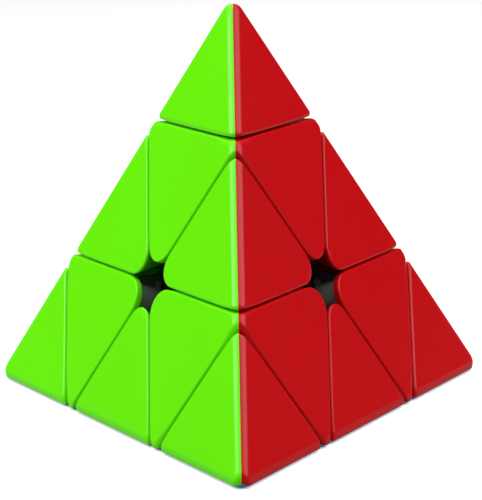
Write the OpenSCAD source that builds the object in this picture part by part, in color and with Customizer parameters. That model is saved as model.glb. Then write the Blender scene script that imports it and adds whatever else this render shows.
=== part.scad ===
// Pyramid twisty puzzle: four turning corner layers, four free tips, six edge pieces.
// Frame: origin at the centre of the base face, +Z up through the top corner,
// front corner towards -Y, left corner towards -X, right corner towards +X.

/* [Size] */
// Overall length of one pyramid edge, measured over the rounded corners
puzzle_edge = 98; // [60:0.5:140]
// Height of a small tip, from its sharp corner down to the tip cut
tip_height = 27; // [20:0.1:29]
// Height of a whole corner layer, from its sharp corner down to the layer cut
layer_height = 55.7; // [54:0.1:58]
// Gap between two moving pieces
gap = 0.4; // [0.2:0.05:0.8]

/* [Shells] */
// Wall of the coloured shells
wall = 1.8; // [1:0.1:3]
// Rounding of the long outer edges and corners
rim_r = 1.6; // [0.5:0.1:3]
// Rounding of each tile along the gaps
tile_r = 1; // [0.3:0.1:2]
// Rounding of the tile corners that meet at a face centre
heart_r = 4.2; // [1:0.1:6]
// Thickness of the lip at an axial tile's corner at a face centre
lip_t = 1.2; // [0.8:0.1:1.8]
// How far that lip stands out over the dark nose below it
lip_out = 0.9; // [0:0.1:1]

/* [Mechanism] */
// Radius of the ball in which the feet and hubs move
race_r = 15.5; // [13:0.1:17]
// Wall of the curved race over the feet
race_wall = 1.4; // [1:0.1:2]
// Distance of the inner layer cut from the centre, inside the ball
inner_cut = 5.3; // [5:0.1:6]
// Radius of the core ball
core_r = 10.5; // [7:0.1:12]
// Radius of a core arm
arm_r = 3.5; // [2.5:0.1:4]
// Distance from the centre to the end of a core arm
arm_len = 15.2; // [13:0.1:17]
// Outer radius of an axial hub tube
hub_r = 6.4; // [5.5:0.1:7]
// Radius of the spring pocket and of the tip bore
pocket_r = 4.4; // [4:0.1:5]
// Radius of the axle screw shank
screw_r = 1.2; // [1:0.1:1.5]
// Wire diameter of a spring
wire_d = 0.7; // [0.4:0.1:1]
// Turns of a spring
turns = 4.5; // [3:0.5:8]

/* [Hidden] */
// sharp tetrahedron that the rounded pyramid is cut from
edge = puzzle_edge + 2 * (3 * sqrt(2 / 3) - 1) * rim_r;
rin = edge / sqrt(24);
rout = 3 * rin;
tipd = rout - tip_height;
cutd = rout - layer_height;
g = gap / 2;
big = 90;
shelf = arm_len + 0.4;
seat = shelf + 1.6;
head = 26;
heart_flat = 0.93 * heart_r;
nose_web = 1;
foot_out = race_r - 0.3;
foot_in = core_r + 0.35;
hub_low = core_r + 0.3;
neck_w = 4.5;

// unit vectors from the centre to the corners top, front, left, right
C = [[0, 0, 1], [0, -sqrt(8) / 3, -1 / 3],
     [-sqrt(6) / 3, sqrt(2) / 3, -1 / 3], [sqrt(6) / 3, sqrt(2) / 3, -1 / 3]];
corner_name = ["top", "front", "left", "right"];
// the face opposite each corner: blue base, yellow back, red right, green left
face_name = ["blue", "yellow", "red", "green"];
face_rgb = [[0.16, 0.62, 0.80], [0.98, 0.80, 0.05], [0.74, 0.01, 0.03], [0.40, 0.90, 0.02]];
dark = [0.09, 0.09, 0.10];
steel = [0.72, 0.73, 0.75];
EDGES = [[0, 1], [0, 2], [0, 3], [1, 2], [1, 3], [2, 3]];

function unit(v) = v / norm(v);
function others(used) = [for (k = [0 : 3]) if (len(search(k, used)) == 0) k];
// a plane is [outward normal, distance from the centre]
function face(x) = [-C[x], rin];
function layer_above(v, s = g) = [-C[v], -(cutd + s)];
function layer_below(v, s = g) = [C[v], cutd - s];
function side(u, x) = [unit(C[x] - C[u]), 0];
function sink(p, by) = [p[0], p[1] - by];
// plane tangent to a rounding of radius r between two planes, halfway round
function mid(p, q, r) = let (s = p[0] + q[0], m = norm(s))
    [s / m, (p[1] + q[1]) / m - r * (2 / m - 1)];
// half of a rounded edge: the ridge plane and the one beside the first plane
function rim(p, q, r) = let (m = mid(p, q, r)) [m, mid(p, m, r)];

function edge_name(e) = str(corner_name[e[0]], "_", corner_name[e[1]]);

// ---------- helpers ----------

// turns +Z onto a direction
module aim(n) rotate([0, acos(n[2]), atan2(n[1], n[0])]) children();

module half_space(p) aim(p[0]) translate([-big, -big, p[1] - 2 * big]) cube(2 * big);

module solid_of(planes) intersection_for (p = planes) half_space(p);

// everything is worked out about the puzzle's centre, then lifted onto its base
module lifted() translate([0, 0, rin]) children();

// ---------- core ----------

module core_spider() color(dark) lifted() difference() {
    union() {
        sphere(core_r, $fn = 64);
        for (v = [0 : 3]) aim(C[v]) translate([0, 0, 5]) cylinder(arm_len - 5, r = arm_r, $fn = 48);
    }
    for (v = [0 : 3]) aim(C[v]) translate([0, 0, 6]) cylinder(arm_len, r = screw_r + 0.05, $fn = 32);
}

module axle_screws() color(steel) lifted() for (v = [0 : 3]) aim(C[v]) difference() {
    rotate_extrude($fn = 48) polygon([[0, 6.2], [screw_r - 0.5, 6.2], [screw_r, 7.2],
        [screw_r, head], [3, head], [3, head + 1.2], [2.4, head + 2], [0, head + 2.2]]);
    for (a = [0, 90]) rotate(a) translate([-1.6, -0.35, head + 1]) cube([3.2, 0.7, 3]);
}

module axle_washers() color(steel) lifted() for (v = [0 : 3]) aim(C[v])
    rotate_extrude($fn = 48) polygon([[screw_r + 0.1, head - 0.6], [4, head - 0.6],
        [4, head - 0.05], [screw_r + 0.1, head - 0.05]]);

// coil spring as a swept five-sided wire
module coil(z0, z1, r, w, n) {
    per = 12;
    steps = round(n * per);
    ring = [for (i = [0 : steps]) let (a = 360 * i / per,
        z = z0 + w / 2 + (z1 - z0 - w) * i / steps)
        for (k = [0 : 4]) let (b = 72 * k)
            [(r + w / 2 * cos(b)) * cos(a), (r + w / 2 * cos(b)) * sin(a), z + w / 2 * sin(b)]];
    polyhedron(ring, concat(
        [[for (k = [0 : 4]) k]],
        [for (i = [0 : steps - 1]) for (k = [0 : 4])
            [5 * i + k, 5 * i + 5 + k, 5 * i + 5 + (k + 1) % 5, 5 * i + (k + 1) % 5]],
        [[for (k = [4 : -1 : 0]) 5 * steps + k]]));
}

module axle_springs() color(steel) lifted() for (v = [0 : 3]) aim(C[v])
    coil(seat + 0.05, head - 0.65, 3.3, wire_d, turns);

// ---------- corner pieces ----------

// room inside the coloured shells of one axial piece
function axial_room(v) = concat([[C[v], tipd - g], sink(layer_above(v), wall)],
    [for (x = others([v])) sink(face(x), wall)],
    [for (x = others([v])) sink(layer_below(x), wall)],
    [for (x = others([v])) sink(heart_cut(v, x), wall)]);
// flat that blunts the tile corner of an axial piece at the centre of the face opposite x
function heart_cut(v, x) = [-unit(C[v] + C[x] / 3), -heart_flat];

// dark hub: turns on the core arm, holds the spring seat, the tip bore and the race over the feet
module hub(v) color(dark) lifted() difference() {
    union() {
        aim(C[v]) translate([0, 0, hub_low]) cylinder(tipd - g - hub_low, r = hub_r, $fn = 64);
        difference() {
            intersection() {
                solid_of(axial_room(v));
                union() {
                    sphere(race_r + 0.2 + race_wall, $fn = 96);
                    aim(C[v]) translate([-big, -big, tipd - g - 2]) cube([2 * big, 2 * big, 2]);
                    for (x = others([v])) aim(C[v]) rotate(rib_turn(v, x))
                        translate([0, -1, 0]) cube([big, 2, big]);
                }
            }
            sphere(race_r + 0.2, $fn = 96);
        }
        for (x = others([v])) hub_nose(v, x);
    }
    aim(C[v]) rotate_extrude($fn = 64) polygon([[0, 0], [arm_r + 0.3, 0], [arm_r + 0.3, shelf],
        [screw_r + 0.6, shelf], [screw_r + 0.6, seat], [pocket_r, seat], [pocket_r, 30.4],
        [pocket_r + 0.5, 30.9], [pocket_r + 0.5, 31.5], [pocket_r, 32], [pocket_r, big], [0, big]]);
}

// round nose under an axial tile's lip at a face centre, with a web that closes the cap beside it
module hub_nose(v, x) {
    w = others([v, x]);
    inward = -heart_cut(v, x)[0];
    back = [inward, 2 * heart_r];
    under = sink(face(x), lip_t);
    difference() {
        union() {
            intersection() {
                translate(back[1] * inward) aim(-C[x]) cylinder(big, r = heart_r - lip_out, $fn = 64);
                solid_of([back, under]);
            }
            solid_of([back, [-inward, nose_web - back[1]], under, [C[x], 0],
                sink(layer_below(w[0]), lip_out), sink(layer_below(w[1]), lip_out)]);
        }
        sphere(race_r + 0.2, $fn = 96);
    }
}

// angle about a corner axis at which the face opposite x lies
function rib_turn(v, x) = let (t = acos(C[v][2]), p = atan2(C[v][1], C[v][0]), f = -C[x],
    ex = [cos(t) * cos(p), cos(t) * sin(p), -sin(t)], ey = [-sin(p), cos(p), 0])
    atan2(f * ey, f * ex);

// coloured shell of an axial piece on the face opposite x
module axial_cap(v, x) color(face_rgb[x]) lifted() {
    w = others([v, x]);
    f = face(x);
    a = layer_below(w[0]);
    b = layer_below(w[1]);
    top = [C[v], tipd - g];
    low = layer_above(v);
    inward = -heart_cut(v, x)[0];
    difference() {
        solid_of(concat([f, a, b, top, low, side(w[0], x), side(w[1], x)],
            rim(f, face(w[0]), rim_r), rim(f, face(w[1]), rim_r),
            [mid(f, a, tile_r), mid(f, b, tile_r), mid(f, top, tile_r),
             heart_cut(v, x)]));
        solid_of([sink(f, wall), sink(a, wall), sink(b, wall), sink(low, wall),
            [C[v], big], sink(heart_cut(v, x), wall)]);
        sphere(race_r + 0.2, $fn = 96);
        // only a thin lip is left at the face centre, over the hub's nose
        solid_of([[inward, 2 * heart_r], sink(f, lip_t)]);
    }
}

// ---------- tips ----------

module tip_stem(v) color(dark) lifted() difference() {
    union() {
        solid_of(concat([[C[v], tipd + g + wall], [-C[v], -tipd - g]],
            [for (x = others([v])) sink(face(x), wall)]));
        aim(C[v]) rotate_extrude($fn = 64) polygon([[0, 29.2], [pocket_r - 0.6, 29.2],
            [pocket_r + 0.2, 30.9], [pocket_r + 0.2, 31.5], [pocket_r - 0.25, 32],
            [pocket_r - 0.25, tipd + 1], [0, tipd + 1]]);
    }
    aim(C[v]) translate([0, 0, 29]) cylinder(tipd + g + 0.2 - 29, r = pocket_r - 1.6, $fn = 48);
    aim(C[v]) for (q = [0, 90]) rotate(q) translate([-6, -0.5, 29]) cube([12, 1, 4.6]);
}

module tip_cap(v, x) color(face_rgb[x]) lifted() {
    w = others([v, x]);
    f = face(x);
    low = [-C[v], -tipd - g];
    point = [C[v], rout - 2 * rim_r];
    ra = mid(f, face(w[0]), rim_r);
    rb = mid(f, face(w[1]), rim_r);
    difference() {
        solid_of(concat([f, low, side(w[0], x), side(w[1], x), point, mid(f, low, tile_r),
            mid(ra, point, rim_r), mid(rb, point, rim_r), mid(f, point, rim_r)],
            rim(f, face(w[0]), rim_r), rim(f, face(w[1]), rim_r)));
        half_space(sink(f, wall));
    }
}

// ---------- edge pieces ----------

function edge_room(e) = concat([for (x = others(e)) sink(face(x), wall)],
    [for (v = e) sink(layer_above(v), wall)],
    [[-unit(C[e[0]] + C[e[1]]), -heart_ridge() - wall]]);
// distance from the centre to the rounded inner edge of an edge piece
function heart_ridge() = -mid(layer_above(0), layer_above(1), heart_r)[1];
// block through which the foot's neck passes into the shells
function neck_block(e) = let (m = unit(C[e[0]] + C[e[1]]), s = cross(unit(C[e[0]] - C[e[1]]), m))
    [[m, heart_ridge() + wall + 1], [s, neck_w], [-s, neck_w]];

// dark foot: curved flange trapped under two axial pieces, with ribs up into the shells
module foot(e) color(dark) lifted() {
    m = unit(C[e[0]] + C[e[1]]);
    along = unit(C[e[0]] - C[e[1]]);
    difference() {
        union() {
            intersection() {
                sphere(foot_out, $fn = 96);
                solid_of([for (v = e) [-C[v], -inner_cut - g]]);
            }
            solid_of(concat(neck_block(e), [[-m, -foot_out + 2]], [for (v = e) layer_above(v)]));
            intersection() {
                solid_of(edge_room(e));
                union() {
                    solid_of([[along, 1], [-along, 1]]);
                    solid_of([[cross(along, m), 1], [-cross(along, m), 1]]);
                }
            }
        }
        sphere(foot_in, $fn = 96);
        for (v = e) aim(C[v]) cylinder(big, r = hub_r + 0.35, $fn = 64);
    }
}

// coloured half shell of an edge piece on the face opposite x
module edge_cap(e, x) color(face_rgb[x]) lifted() {
    u = others([e[0], e[1], x])[0];
    f = face(x);
    a = layer_above(e[0]);
    b = layer_above(e[1]);
    heart = rim(a, b, heart_r);
    difference() {
        solid_of(concat([f, a, b, side(u, x)], rim(f, face(u), rim_r), heart,
            [mid(b, heart[0], heart_r), mid(f, a, tile_r), mid(f, b, tile_r)]));
        solid_of([sink(f, wall), sink(a, wall), sink(b, wall), sink(heart[0], wall)]);
        solid_of(neck_block(e));
        sphere(race_r + 0.2, $fn = 96);
    }
}

// ---------- the puzzle ----------

core_spider();
axle_screws();
axle_springs();
axle_washers();
for (v = [0 : 3]) {
    hub(v);
    tip_stem(v);
    for (x = others([v])) {
        axial_cap(v, x);
        tip_cap(v, x);
    }
}
for (e = EDGES) {
    foot(e);
    for (x = others(e))
        edge_cap(e, x);
}
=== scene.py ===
import math  # noqa: E402
import bmesh  # noqa: E402
import bpy  # noqa: E402
import numpy as np  # noqa: E402
from mathutils import Matrix, Vector  # noqa: E402


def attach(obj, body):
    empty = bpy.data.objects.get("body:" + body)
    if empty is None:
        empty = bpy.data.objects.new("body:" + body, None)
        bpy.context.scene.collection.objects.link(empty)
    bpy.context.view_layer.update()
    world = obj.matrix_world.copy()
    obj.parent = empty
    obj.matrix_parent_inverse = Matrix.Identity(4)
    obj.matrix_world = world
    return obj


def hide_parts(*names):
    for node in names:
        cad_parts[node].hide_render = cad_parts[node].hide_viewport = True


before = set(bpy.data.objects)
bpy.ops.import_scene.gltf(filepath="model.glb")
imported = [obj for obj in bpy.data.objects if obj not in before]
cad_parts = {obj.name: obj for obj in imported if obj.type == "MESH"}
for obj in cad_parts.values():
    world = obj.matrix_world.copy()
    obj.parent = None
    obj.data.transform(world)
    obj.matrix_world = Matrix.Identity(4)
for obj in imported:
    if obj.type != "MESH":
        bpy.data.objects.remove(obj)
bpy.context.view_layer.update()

# ---------- sizes, as the CAD model has them (mm) ----------
PUZZLE_EDGE = 98.0  # over the rounded corners
CAD_RIM = 1.6  # rounding that the sharp tetrahedron is found from
TIP_H, LAYER_H = 27.0, 55.7  # heights of a tip and of a corner layer under the sharp corner
GAP, WALL = 0.4, 1.8
RACE_R = 15.5  # ball in which the feet move
RACE_ROOM = RACE_R + 0.2  # hollow in the shells around it
HEART_CAD = 4.2  # rounding of the tile corners at a face centre
BLUNT_CAD = 0.93 * HEART_CAD  # depth of the flat that stands for it
LIP_T = 1.2  # lip of a corner tile there
NECK_W = 4.5  # half the width of the slot for a foot's neck
EDGE = PUZZLE_EDGE + 2 * (3 * math.sqrt(2 / 3) - 1) * CAD_RIM
RIN = EDGE / math.sqrt(24)  # from the centre to a face
ROUT = 3 * RIN  # from the centre to a sharp corner
TIPD, CUTD, G = ROUT - TIP_H, ROUT - LAYER_H, GAP / 2

# ---------- visible roundings ----------
BEND = 3.0  # radius in which a tile bends towards a long outer edge
BEND_TURN = math.radians(35)  # how far it bends before it meets the next colour at a faint crease
TILE = 0.35  # tile edges along the gaps
END = 0.7  # tile edges where a gap meets a long outer edge
SHOULDER = 1.8  # the same on an axial piece, under its tip
HEART = 4.2  # tile corners at a face centre
UPRIGHT = (6.5, 9.5)  # an axial piece's gap walls stand upright inside the first radius about a face
POINT = 2.2  # fillet around the blunt end of the four outer corners
POINT_CUT = 3.4  # depth of that blunt end under the sharp corner
BOTTOM = 0.5  # the hidden inner end of a corner tile
GROW = 2.2  # distance from a long outer edge over which a tile edge grows to its end radius

# ---------- tolerances (mm, or a cosine where they compare directions) ----------
ON_PLANE = 1e-4
CUT_TOL = 1e-5
ON_SKIN, ON_BALL = 0.02, 0.05
FACING, FACING_BALL = 0.7, 0.9
STRIDE = 0.6  # longest step of a point on its way to the surface
BIG = 90.0

CORNERS = ["top", "front", "left", "right"]
FACES = ["blue", "yellow", "red", "green"]  # the face opposite each corner
PAIRS = [(0, 1), (0, 2), (0, 3), (1, 2), (1, 3), (2, 3)]
C = np.array(
    [
        [0, 0, 1],
        [0, -math.sqrt(8) / 3, -1 / 3],
        [-math.sqrt(6) / 3, math.sqrt(2) / 3, -1 / 3],
        [math.sqrt(6) / 3, math.sqrt(2) / 3, -1 / 3],
    ]
)


def unit(v):
    return np.asarray(v, float) / np.linalg.norm(v)


def others(*used):
    return [k for k in range(4) if k not in used]


# ---------- planes: (outward normal, distance from the centre) ----------
def face(x):
    return (-C[x], RIN)


def above(v):
    return (-C[v], -(CUTD + G))


def below(v):
    return (C[v], CUTD - G)


def side(u, x):
    return (unit(C[x] - C[u]), 0.0)


def sink(p, by):
    return (p[0], p[1] - by)


def lip(a, b):
    """The plane that face a's outer bend has turned to where it meets the bend of face b."""
    m = unit(a[0] + b[0])
    across = unit(b[0] - (b[0] @ a[0]) * a[0])
    n = a[0] * math.cos(BEND_TURN) + across * math.sin(BEND_TURN)
    sharp = a[1] / (m @ a[0])
    back = BEND * (1 - math.cos(BEND_TURN)) / (m @ a[0])
    return (n, (n @ m) * (sharp - back))


# ---------- rounded fields: value and gradient at many points ----------
def flat(p):
    return lambda q: (q @ p[0] - p[1], np.broadcast_to(p[0], q.shape))


def meet(a, b, r):
    """Two surfaces joined by a rolling-ball fillet; r is a number or a function of the points."""

    def field(q):
        (fa, ga), (fb, gb) = a(q), b(q)
        rr = r(q) if callable(r) else r
        c = np.clip((ga * gb).sum(1), -0.995, 0.995)
        u, v = fa + rr, fb + rr
        k = 1 - c * c
        l1, l2 = (u - c * v) / k, (v - c * u) / k
        on = (l1 > 0) & (l2 > 0)
        d = np.sqrt(np.maximum(u * u + v * v - 2 * c * u * v, 1e-12) / k)
        ge = (l1[:, None] * ga + l2[:, None] * gb) / d[:, None]
        pick = (fa >= fb)[:, None]
        value = np.where(on, d - rr, np.maximum(fa, fb))
        return value, np.where(on[:, None], ge, np.where(pick, ga, gb))

    return field


def most(a, b):
    """Two surfaces that meet sharply."""

    def field(q):
        (fa, ga), (fb, gb) = a(q), b(q)
        return np.maximum(fa, fb), np.where((fa >= fb)[:, None], ga, gb)

    return field


def corner3(planes, r):
    """Three faces with one radius on their edges and a ball at their corner, exactly."""
    n = np.array([p[0] for p in planes])
    d = np.array([p[1] for p in planes]) - r
    gram = np.linalg.inv(n @ n.T)

    def field(q):
        s = q @ n.T - d
        best, grad = s.max(1), n[s.argmax(1)]
        for i, j in ((0, 1), (0, 2), (1, 2)):
            c = n[i] @ n[j]
            k = 1 - c * c
            l1, l2 = (s[:, i] - c * s[:, j]) / k, (s[:, j] - c * s[:, i]) / k
            h = 3 - i - j
            foot = s[:, h] - (l1 * (n[i] @ n[h]) + l2 * (n[j] @ n[h]))
            on = (l1 > 0) & (l2 > 0) & (foot <= 1e-9)
            square = s[:, i] ** 2 + s[:, j] ** 2 - 2 * c * s[:, i] * s[:, j]
            dist = np.sqrt(np.maximum(square, 1e-12) / k)
            g = (l1[:, None] * n[i] + l2[:, None] * n[j]) / dist[:, None]
            best = np.where(on, dist, best)
            grad = np.where(on[:, None], g, grad)
        lam = s @ gram
        on = (lam > 0).all(1)
        dist = np.sqrt(np.maximum((lam * s).sum(1), 1e-12))
        best = np.where(on, dist, best)
        grad = np.where(on[:, None], (lam @ n) / dist[:, None], grad)
        return best - r, grad

    return field


def slope(field, q, h=0.004):
    """The field's true gradient, by differences."""
    g = np.zeros_like(q)
    for k in range(3):
        e = np.zeros(3)
        e[k] = h
        g[:, k] = field(q + e)[0] - field(q - e)[0]
    return g / np.linalg.norm(g, axis=1, keepdims=True)


def settle(field, q, seams, rounds=18):
    """Moves points onto the field's surface; a point on a seam plane stays on it."""
    held = np.array([np.abs(q @ n - d) < ON_PLANE for n, d in seams]).T
    free = np.repeat(np.eye(3)[None], len(q), axis=0)
    for _ in range(rounds):
        for i in np.flatnonzero(held.any(1)):
            rows = np.array([seams[k][0] for k in np.flatnonzero(held[i])])
            free[i] = np.eye(3) - np.linalg.pinv(rows) @ rows
        f, g = field(q)
        way = np.einsum("ijk,ik->ij", free, g)
        size = np.maximum((way * way).sum(1), 0.05)
        q = q - (np.clip(f, -STRIDE, STRIDE) / size)[:, None] * way
        for k, (n, d) in enumerate(seams):
            over = q @ n - d
            crossed = (over > 1e-6) & ~held[:, k]
            q = q - np.where(crossed, over, 0)[:, None] * n
            held[:, k] |= crossed
    return q


# ---------- meshes ----------
def to_v(p):
    return Vector([float(x) for x in p])


def convex(planes, size=BIG):
    """The convex body that the planes bound, as a bmesh."""
    bm = bmesh.new()
    bmesh.ops.create_cube(bm, size=size * 2)
    for n, d in planes:
        cut = bmesh.ops.bisect_plane(
            bm,
            geom=bm.verts[:] + bm.edges[:] + bm.faces[:],
            dist=CUT_TOL,
            plane_co=to_v(np.asarray(n) * d),
            plane_no=to_v(n),
            clear_outer=True,
        )
        edges = [e for e in cut["geom_cut"] if isinstance(e, bmesh.types.BMEdge)]
        if edges:
            bmesh.ops.contextual_create(bm, geom=edges)
    bmesh.ops.remove_doubles(bm, verts=bm.verts, dist=ON_PLANE)
    bmesh.ops.recalc_face_normals(bm, faces=bm.faces)
    return bm


def rounded(planes, seams, slices, field):
    """A convex body with open seams, sliced finely where it bends, and drawn onto the rounded field."""
    bm = convex(planes + seams)
    for (n, d), depths in slices:
        for t in depths:
            bmesh.ops.bisect_plane(
                bm,
                geom=bm.verts[:] + bm.edges[:] + bm.faces[:],
                dist=CUT_TOL,
                plane_co=to_v(np.asarray(n) * (d - t)),
                plane_no=to_v(n),
            )
    gone = [
        f
        for f in bm.faces
        for n, d in seams
        if all(abs(np.dot(v.co, n) - d) < ON_PLANE for v in f.verts)
    ]
    bmesh.ops.delete(bm, geom=list(set(gone)), context="FACES")
    q = settle(field, np.array([v.co for v in bm.verts], float), seams)
    for v, p in zip(bm.verts, q):
        v.co = to_v(p)
    bmesh.ops.remove_doubles(bm, verts=bm.verts, dist=0.01)
    bmesh.ops.dissolve_degenerate(bm, edges=bm.edges, dist=0.003)
    for n, d in seams:
        rim = [
            e
            for e in bm.edges
            if e.is_boundary and all(abs(np.dot(v.co, n) - d) < 5e-3 for v in e.verts)
        ]
        if rim:
            bmesh.ops.contextual_create(bm, geom=rim)
    if any(e.is_boundary for e in bm.edges):
        bmesh.ops.holes_fill(bm, edges=[e for e in bm.edges if e.is_boundary], sides=0)
    bmesh.ops.recalc_face_normals(bm, faces=bm.faces)
    return bm


def as_object(bm, name):
    me = bpy.data.meshes.new(name)
    bm.to_mesh(me)
    bm.free()
    ob = bpy.data.objects.new(name, me)
    bpy.context.collection.objects.link(ob)
    return ob


def ball(r, seg=96):
    bm = bmesh.new()
    bmesh.ops.create_uvsphere(bm, u_segments=seg, v_segments=seg // 2, radius=r)
    return bm


def carve(ob, *tools):
    """Cuts the tools from ob and throws them away."""
    for bm in tools:
        tool = as_object(bm, "tool")
        m = ob.modifiers.new("cut", "BOOLEAN")
        m.operation, m.solver, m.object = "DIFFERENCE", "EXACT", tool
        dg = bpy.context.evaluated_depsgraph_get()
        me = bpy.data.meshes.new_from_object(ob.evaluated_get(dg))
        ob.modifiers.clear()
        old = ob.data
        ob.data = me
        bpy.data.meshes.remove(old)
        bpy.data.objects.remove(tool)
    return ob


def finish_master(ob, field, balls=()):
    """(vertices, faces, a normal for each face corner) of a master shell; then it is removed."""
    me = ob.data
    bm = bmesh.new()
    bm.from_mesh(me)
    bmesh.ops.remove_doubles(bm, verts=bm.verts, dist=2e-3)
    bmesh.ops.dissolve_degenerate(bm, edges=bm.edges, dist=1e-3)
    bmesh.ops.recalc_face_normals(bm, faces=bm.faces)
    bm.verts.index_update()
    q = np.array([v.co for v in bm.verts], float)
    value = field(q)[0]
    g = slope(field, q)
    faces, normals = [], []
    for f in bm.faces:
        fn = np.array(f.normal)
        faces.append([v.index for v in f.verts])
        for v in f.verts:
            i = v.index
            n = fn
            if abs(value[i]) < ON_SKIN and g[i] @ fn > FACING:
                n = g[i]
            else:
                for r in balls:
                    rad = np.linalg.norm(q[i])
                    if abs(rad - r) < ON_BALL and -(q[i] @ fn) / rad > FACING_BALL:
                        n = -q[i] / rad
            normals.append(n)
    bm.free()
    bpy.data.objects.remove(ob)
    return q, faces, np.array(normals)


def near(planes, small, big):
    """A radius that grows from small to big close to any of the planes, which pass through the centre."""
    return lambda q: small + (big - small) * np.exp(
        -((np.min([np.abs(q @ p[0]) for p in planes], axis=0) / GROW) ** 2)
    )


def band_rows(n=8):
    """Depths under the neighbouring face that split a tile's outer bend into equal angles."""
    wide = BEND * (math.sin(BEND_TURN) + math.sqrt(2) * (1 - math.cos(BEND_TURN)))
    rows = []
    for k in range(n - 1, -1, -1):
        a = BEND_TURN * k / n
        along, down = wide - BEND * math.sin(a), BEND * (1 - math.cos(a))
        rows.append(along * math.sqrt(8) / 3 - down / 3)
    return rows


# depths at which a body is sliced: under its outer bends, past them, under a face and behind a gap
# wall, then along, around and past a tile's corner at a face centre
BAND = band_rows()
BEYOND = [BAND[-1] + k for k in (0.6, 1.3, 2.1, 3.0, 4.0)]
SHALLOW = [TILE / 6, TILE / 3, TILE * 0.6, 0.9, 1.4, 2.0, 2.8]
EDGE_ROWS = [TILE / 6, TILE / 3, TILE * 0.6, TILE, 1.0, 1.5, 2.2, 3.0]
DEEP = [TILE / 6, TILE / 3, TILE * 0.6, TILE, 0.6, 1.0, 1.6, 2.4]
NOSE_ROWS = [TILE * 0.25, TILE * 0.55, TILE * 0.9, TILE * 1.45]
POINT_ROWS = [k / 2 for k in range(1, 13)]
BOTTOM_ROWS = [0.2, 0.4, 0.7]
PAST_NOSE = [0.0, 0.4, 1.1, 2.2]


def upright(a, f):
    """Gap wall a, which turns upright under face f where it nears the face's centre."""
    lean = a[0] @ f[0]
    across = a[0] - lean * f[0]
    tan = lean / np.linalg.norm(across)
    foot = (a[1] - lean * f[1]) / np.linalg.norm(across)
    across = unit(across)

    def field(q):
        up = q @ f[0]
        away = np.linalg.norm(q - up[:, None] * f[0], axis=1)
        t = np.clip((away - UPRIGHT[0]) / (UPRIGHT[1] - UPRIGHT[0]), 0, 1)
        k = tan * t * t * (3 - 2 * t)
        size = np.sqrt(1 + k * k)
        value = (q @ across - foot - k * (f[1] - up)) / size
        return value, (across + k[:, None] * f[0]) / size[:, None]

    return field, (across, foot)


def fillet_axis(a, b, r):
    """The point nearest the centre on the axis of the fillet of radius r between planes a and b."""
    c = a[0] @ b[0]
    inner = np.linalg.solve([[1, c], [c, 1]], [a[1] - r, b[1] - r])
    return inner[0] * a[0] + inner[1] * b[0]


def nose(a, b, r, n=9):
    """Planes that wrap the fillet of radius r between planes a and b."""
    axis = fillet_axis(a, b, r)
    turn = math.acos(a[0] @ b[0])
    planes = []
    for k in range(1, n):
        m = (math.sin(turn * (1 - k / n)) * a[0] + math.sin(turn * k / n) * b[0]) / math.sin(turn)
        planes.append((m, m @ axis + r))
    return planes


def nose_ends(a, b, r):
    """Planes across that fillet's two tangent lines, so that its bend doesn't shade the flats beyond."""
    c, axis = a[0] @ b[0], fillet_axis(a, b, r)
    ways = unit(b[0] - c * a[0]), unit(a[0] - c * b[0])
    return [((n, n @ axis), PAST_NOSE) for n in ways]


def axial_master(v=0, x=3):
    """Shell of the piece at corner v, on the face opposite corner x."""
    w = others(v, x)
    f, f0, f1 = face(x), face(w[0]), face(w[1])
    a, b, top, low = below(w[0]), below(w[1]), (C[v], TIPD - G), above(v)
    s0, s1 = side(w[0], x), side(w[1], x)
    end, shoulder = near([s0, s1], TILE, END), near([s0, s1], TILE, SHOULDER)
    skin = most(meet(flat(f), flat(lip(f, f0)), BEND), meet(flat(f), flat(lip(f, f1)), BEND))
    (wall_a, up_a), (wall_b, up_b) = upright(a, f), upright(b, f)
    tight = nose(up_a, up_b, HEART)
    walls = meet(meet(wall_a, wall_b, HEART), flat(low), BOTTOM)
    field = meet(meet(skin, walls, end), flat(top), shoulder)
    slices = [
        (f0, BAND + BEYOND),
        (f1, BAND + BEYOND),
        (f, SHALLOW),
        (a, DEEP),
        (b, DEEP),
        (top, EDGE_ROWS),
        (low, BOTTOM_ROWS),
    ]
    slices += [(p, NOSE_ROWS) for p in tight] + nose_ends(up_a, up_b, HEART)
    bm = rounded([f, lip(f, f0), lip(f, f1), a, b, top, low] + tight, [s0, s1], slices, field)
    inward = unit(C[v] + C[x] / 3)
    room = [sink(p, WALL) for p in (f, a, b, low, (-inward, -BLUNT_CAD))] + [(C[v], ROUT)]
    under_lip = [(inward, 2 * HEART_CAD), sink(f, LIP_T)]
    ob = carve(as_object(bm, "axial"), convex(room), ball(RACE_ROOM), convex(under_lip, 2 * RIN))
    return finish_master(ob, field, [RACE_ROOM])


def tip_master(v=0, x=3):
    """Shell of the tip at corner v, on the face opposite corner x."""
    w = others(v, x)
    f, f0, f1 = face(x), face(w[0]), face(w[1])
    low = (-C[v], -(TIPD + G))
    s0, s1 = side(w[0], x), side(w[1], x)
    end, blunt = near([s0, s1], TILE, END), (C[v], ROUT - POINT_CUT)
    skin = meet(corner3([f, lip(f, f0), lip(f, f1)], BEND), flat(blunt), POINT)
    field = meet(skin, flat(low), end)
    slices = [
        (f0, BAND + BEYOND),
        (f1, BAND + BEYOND),
        (f, SHALLOW),
        (blunt, POINT_ROWS),
        (low, EDGE_ROWS),
    ]
    bm = rounded([f, lip(f, f0), lip(f, f1), low, sink(blunt, -0.1)], [s0, s1], slices, field)
    ob = carve(as_object(bm, "tip"), convex([sink(f, WALL)]))
    return finish_master(ob, field)


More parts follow.
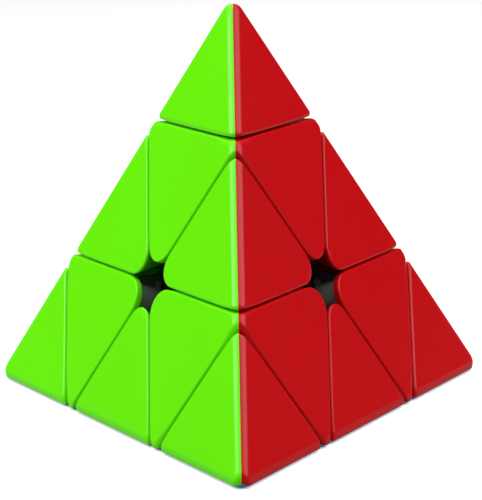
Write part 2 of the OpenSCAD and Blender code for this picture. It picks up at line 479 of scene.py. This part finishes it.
def edge_master(e=(0, 1), x=3):
    """Shell of the edge piece between the corners in e, on the face opposite corner x."""
    u = others(e[0], e[1], x)[0]
    f, f0 = face(x), face(u)
    a, b = above(e[0]), above(e[1])
    s0 = side(u, x)
    end = near([s0], TILE, END)
    skin = meet(flat(f), flat(lip(f, f0)), BEND)
    walls = meet(flat(a), flat(b), HEART)
    field = meet(skin, walls, end)
    m, along = unit(C[e[0]] + C[e[1]]), unit(C[e[0]] - C[e[1]])
    lat = np.cross(along, m)
    tight = nose(a, b, HEART)
    slices = [(f0, BAND + BEYOND), (f, SHALLOW), (a, DEEP), (b, DEEP)]
    slices += [(p, NOSE_ROWS) for p in tight] + nose_ends(a, b, HEART)
    bm = rounded([f, lip(f, f0), a, b] + tight, [s0], slices, field)
    ridge = (CUTD + G) * math.sqrt(3) + HEART_CAD * (math.sqrt(3) - 1)
    heart = (-m, -ridge - WALL)
    room = [sink(f, WALL), sink(a, WALL), sink(b, WALL), heart, (m, ROUT)]
    neck = [(m, ridge + WALL + 1), (-m, 0), (lat, NECK_W), (-lat, NECK_W), (along, RIN), (-along, RIN)]
    ob = carve(as_object(bm, "edge"), convex(room), convex(neck))
    return finish_master(ob, field)


def turn_for(source, target):
    """The rotation that takes the two corners in source to the two in target."""
    rest = others(*target)
    for order in (rest, rest[::-1]):
        a = np.array([C[k] for k in source + others(*source)])[:3].T
        b = np.array([C[k] for k in target + order])[:3].T
        r = b @ np.linalg.inv(a)
        if np.linalg.det(r) > 0:
            return r


def place(master, r, body, node, col):
    """Turns a copy of a master into its place, in colour col, instead of the CAD node."""
    name = node + "_shell"
    q, faces, normals = master
    pts = (q @ r.T + [0, 0, RIN]) / 1000
    me = bpy.data.meshes.new(name)
    me.from_pydata([tuple(p) for p in pts], [], faces)
    me.polygons.foreach_set("use_smooth", [True] * len(me.polygons))
    me.normals_split_custom_set([tuple(n) for n in normals @ r.T])
    me.materials.append(PLASTIC[col])
    me.update()
    ob = bpy.data.objects.new(name, me)
    bpy.context.collection.objects.link(ob)
    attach(ob, body)
    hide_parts(node)


# ---------- materials ----------
FLOW, SATIN = 0.02, 0.01  # how far the plastic's colour and roughness vary

def nodes_of(name):
    """A new material, its node tree and its shader."""
    m = bpy.data.materials.new(name)
    m.use_nodes = True
    t = m.node_tree
    return m, t, t.nodes["Principled BSDF"]


def noise(t, scale, detail):
    """A noise value, fixed to the piece."""
    c = t.nodes.new("ShaderNodeTexCoord")
    n = t.nodes.new("ShaderNodeTexNoise")
    n.inputs["Scale"].default_value = scale
    n.inputs["Detail"].default_value = detail
    t.links.new(c.outputs["Object"], n.inputs["Vector"])
    return n.outputs["Fac"]


def spread(t, src, lo, hi):
    """The noise value src, spread over the range from lo to hi."""
    m = t.nodes.new("ShaderNodeMapRange")
    m.inputs["From Min"].default_value = 0.3
    m.inputs["From Max"].default_value = 0.7
    m.inputs["To Min"].default_value = lo
    m.inputs["To Max"].default_value = hi
    t.links.new(src, m.inputs["Value"])
    return m.outputs["Result"]


def abs_plastic(name, rgb, rough=0.26, shine=0.15):
    """Moulded ABS: even colour with a faint flow variation, a satin skin and a very fine grain."""
    m, t, p = nodes_of(name)
    tint = t.nodes.new("ShaderNodeMix")
    tint.data_type = "RGBA"
    tint.inputs["A"].default_value = (*[c * (1 - FLOW) for c in rgb], 1)
    tint.inputs["B"].default_value = (*[c * (1 + FLOW) for c in rgb], 1)
    t.links.new(spread(t, noise(t, 28.0, 2.0), 0, 1), tint.inputs["Factor"])
    t.links.new(tint.outputs["Result"], p.inputs["Base Color"])
    satin = spread(t, noise(t, 160.0, 4.0), rough - SATIN, rough + SATIN)
    t.links.new(satin, p.inputs["Roughness"])
    bump = t.nodes.new("ShaderNodeBump")
    bump.inputs["Strength"].default_value = 0.015
    bump.inputs["Distance"].default_value = 0.00006
    t.links.new(noise(t, 2600.0, 2.0), bump.inputs["Height"])
    t.links.new(bump.outputs["Normal"], p.inputs["Normal"])
    p.inputs["IOR"].default_value = 1.5
    p.inputs["Specular IOR Level"].default_value = shine
    return m


def steel_metal(name):
    """Zinc-plated steel: bright, with a slightly uneven roughness."""
    m, t, p = nodes_of(name)
    p.inputs["Metallic"].default_value = 1.0
    p.inputs["Base Color"].default_value = (0.62, 0.63, 0.66, 1)
    t.links.new(spread(t, noise(t, 900.0, 4.0), 0.22, 0.38), p.inputs["Roughness"])
    return m


COLOURS = {
    "green": (0.118, 0.715, 0.000),
    "red": (0.425, 0.000, 0.002),
    "blue": (0.020, 0.340, 0.600),
    "yellow": (0.950, 0.620, 0.010),
}
PLASTIC = {k: abs_plastic(k + "_abs", v) for k, v in COLOURS.items()}
DARK = abs_plastic("dark_nylon", (0.150, 0.170, 0.150), 0.22, 0.5)
STEEL = steel_metal("zinc_steel")

# ---------- the puzzle ----------
axial, tip, edge = axial_master(), tip_master(), edge_master()
for v in range(4):
    for x in others(v):
        r = turn_for([0, 3], [v, x])
        col = FACES[x]
        for kind, master, body in (("axial", axial, "corner_"), ("tip", tip, "tip_")):
            node = f"{kind}_{CORNERS[v]}_{col}"
            place(master, r, body + CORNERS[v], node, col)
for e in PAIRS:
    for x in others(*e):
        u = others(*e, x)[0]
        r = turn_for([3, 2], [x, u])
        pair, col = f"{CORNERS[e[0]]}_{CORNERS[e[1]]}", FACES[x]
        place(edge, r, "edge_" + pair, f"edge_{pair}_{col}", col)

for name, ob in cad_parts.items():
    inner = name.startswith(("hub", "tip_stem", "foot", "core"))
    if inner or name.startswith("axle"):
        ob.data.materials.clear()
        ob.data.materials.append(DARK if inner else STEEL)

# ---------- floor, light, camera ----------
WHITE = (1, 1, 1, 1)
bpy.ops.mesh.primitive_plane_add(size=2.6, location=(0, 0, 0))
floor = bpy.context.object
floor.name = "floor"
fm, ft, fp = nodes_of("floor_white")
fp.inputs["Base Color"].default_value = (0.92, 0.92, 0.92, 1)
fp.inputs["Emission Color"].default_value = WHITE
fp.inputs["Emission Strength"].default_value = 0.36
fp.inputs["Roughness"].default_value = 0.1
# what the puzzle gets back from the floor is less than what the camera sees of it
dim = ft.nodes.new("ShaderNodeBsdfDiffuse")
dim.inputs["Color"].default_value = (0.3, 0.3, 0.3, 1)
straight, blend = ft.nodes.new("ShaderNodeLightPath"), ft.nodes.new("ShaderNodeMixShader")
ft.links.new(straight.outputs["Is Camera Ray"], blend.inputs[0])
ft.links.new(dim.outputs[0], blend.inputs[1])
ft.links.new(fp.outputs[0], blend.inputs[2])
ft.links.new(blend.outputs[0], ft.nodes["Material Output"].inputs["Surface"])
floor.data.materials.append(fm)

# the camera sees a white backdrop, and the puzzle a dim room
world = bpy.data.worlds.new("studio")
bpy.context.scene.world = world
world.use_nodes = True
wt = world.node_tree
room = wt.nodes["Background"]
room.inputs["Color"].default_value = WHITE
room.inputs["Strength"].default_value = 0.05
backdrop = wt.nodes.new("ShaderNodeBackground")
backdrop.inputs["Color"].default_value = WHITE
seen, pick = wt.nodes.new("ShaderNodeLightPath"), wt.nodes.new("ShaderNodeMixShader")
wt.links.new(seen.outputs["Is Camera Ray"], pick.inputs[0])
wt.links.new(room.outputs[0], pick.inputs[1])
wt.links.new(backdrop.outputs[0], pick.inputs[2])
wt.links.new(pick.outputs[0], wt.nodes["World Output"].inputs["Surface"])


def lamp(name, at, to, size, power):
    """A square softbox, in metres and watts."""
    d = bpy.data.lights.new(name, "AREA")
    d.shape, d.size, d.energy = "SQUARE", size, power
    o = bpy.data.objects.new(name, d)
    o.location = at
    o.rotation_euler = (Vector(to) - Vector(at)).to_track_quat("-Z", "Y").to_euler()
    bpy.context.collection.objects.link(o)


# the two side lamps make the stripes along the front ridge
lamp("left", (-0.69, -0.03, 0.44), (0, 0, 0.04), 0.35, 4.2)
lamp("right", (0.69, -0.03, 0.44), (0, 0, 0.04), 0.5, 4.2)
lamp("over", (0, 0, 1.6), (0, 0, 0), 3, 68)

bpy.context.scene.view_settings.view_transform = "Standard"

# camera: azimuth, elevation and roll in degrees, distance from the point that it turns about
AZ, EL, ROLL = -0.033, 11.868, -1.035
DIST, LOOK_Z = 0.5114, 0.030
LENS, SENSOR = 187.574, 36.0
SHIFT = (0.00744, 0.02046)
az, el, roll = math.radians(AZ), math.radians(EL), math.radians(ROLL)
back = np.array([math.sin(az) * math.cos(el), -math.cos(az) * math.cos(el), math.sin(el)])
level = unit(np.cross(-back, [0, 0, 1]))
plumb = np.cross(level, -back)
right = level * math.cos(roll) + plumb * math.sin(roll)
up = plumb * math.cos(roll) - level * math.sin(roll)
eye = np.array([0, 0, LOOK_Z]) + back * DIST
cam = bpy.data.objects.new("camera", bpy.data.cameras.new("camera"))
bpy.context.collection.objects.link(cam)
cam.matrix_world = Matrix([[right[i], up[i], back[i], eye[i]] for i in range(3)] + [[0, 0, 0, 1]])
cam.data.sensor_width, cam.data.lens = SENSOR, LENS
cam.data.shift_x, cam.data.shift_y = SHIFT
cam.data.clip_start, cam.data.clip_end = 0.01, 20
bpy.context.scene.camera = cam
